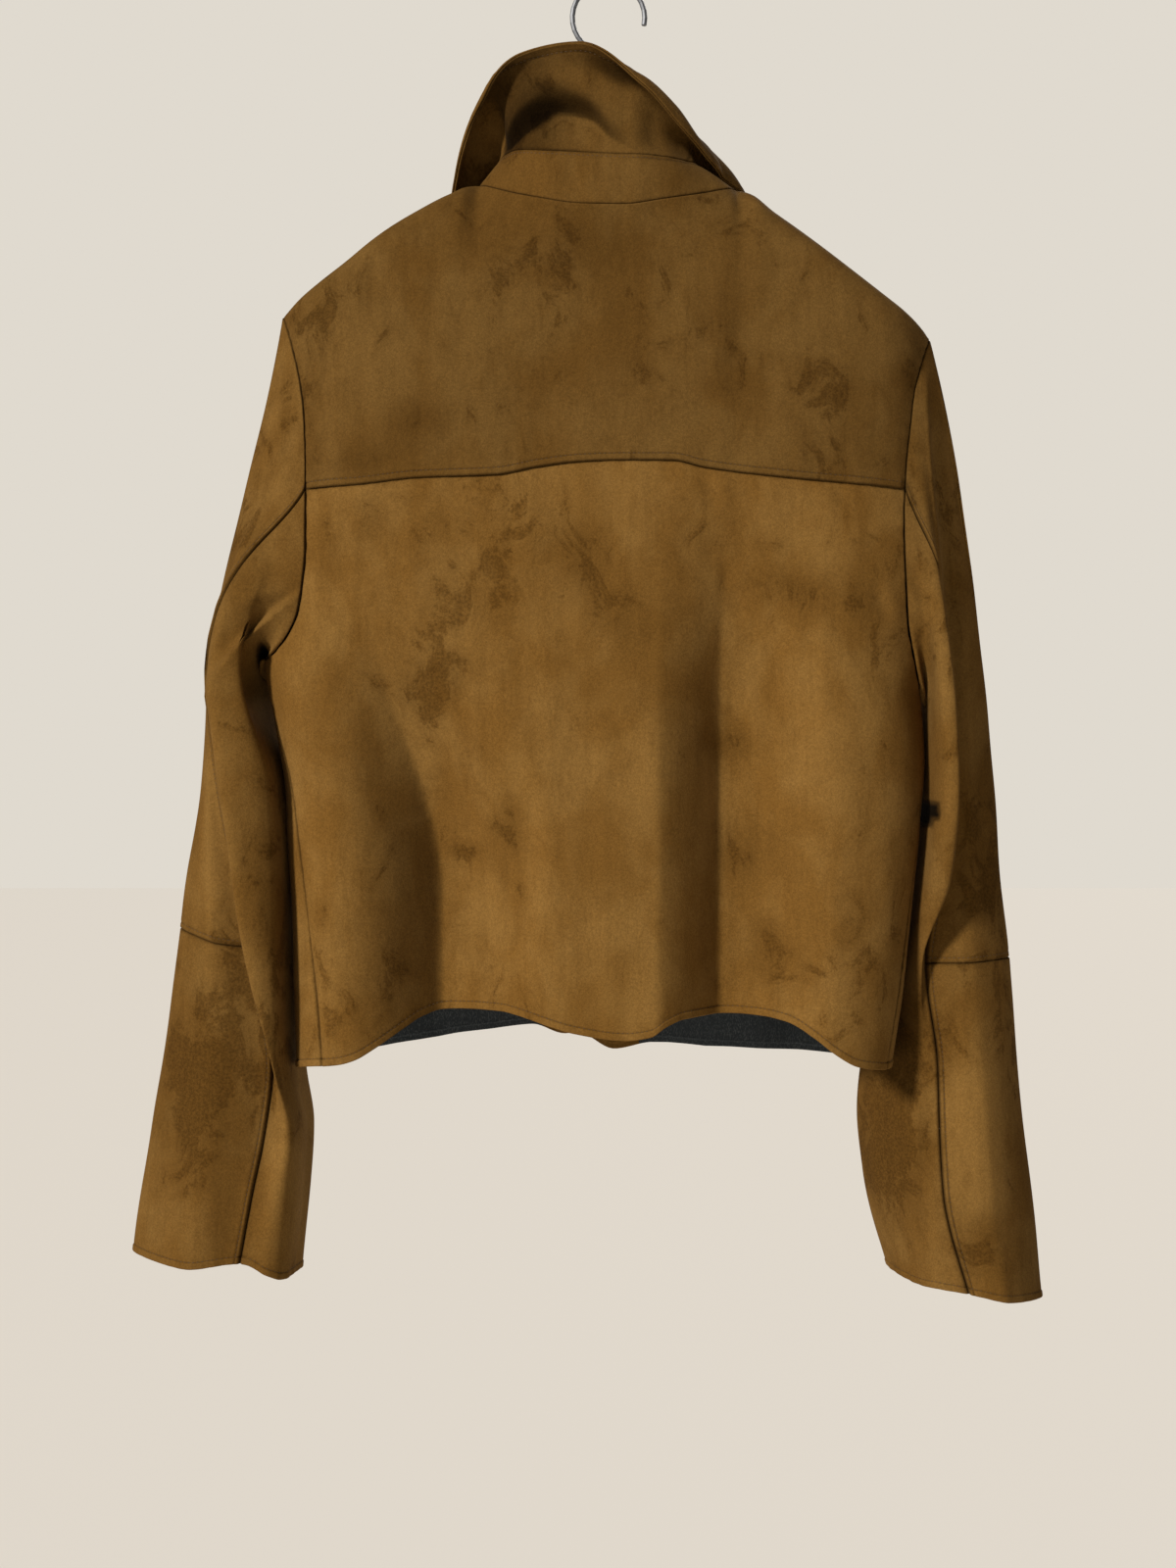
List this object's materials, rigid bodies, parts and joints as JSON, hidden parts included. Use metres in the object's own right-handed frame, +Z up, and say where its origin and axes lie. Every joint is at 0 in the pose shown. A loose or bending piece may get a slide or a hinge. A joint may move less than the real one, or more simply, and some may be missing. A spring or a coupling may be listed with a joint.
{
  "type": "faux suede jacket on a hanger",
  "caption": "Cropped tan-brown faux suede jacket with a popped-up collar, back yoke and two-part sleeves, hanging on a plain hanger by its wire hook.",
  "frame": {"origin": "inside top of the hanger's wire hook, where it rests on the rail or peg that holds it", "axes": "+Z up, +Y the way the jacket's front faces, +X the wearer's right; the back with its yoke faces -Y"},
  "size_m": [0.6177, 0.1495, 0.8826],
  "materials": {
    "suede": "matte",
    "facing_suede": "matte",
    "lining": "matte",
    "hanger_bar": "satin",
    "hanger_hook": "polished"
  },
  "bodies": {
    "root": {"back_yoke": "suede", "back_panel": "suede", "front_left": "suede", "front_right": "suede", "facing_left": "facing_suede", "facing_right": "facing_suede", "lining_left": "lining", "lining_right": "lining", "collar_stand": "suede", "undercollar": "suede", "top_collar": "suede", "sleeve_left": "suede", "sleeve_right": "suede", "forearm_left": "suede", "forearm_right": "suede", "undersleeve_left": "suede", "undersleeve_right": "suede", "hanger_bar": "hanger_bar", "hanger_hook": "hanger_hook"}
  },
  "joints": []
}
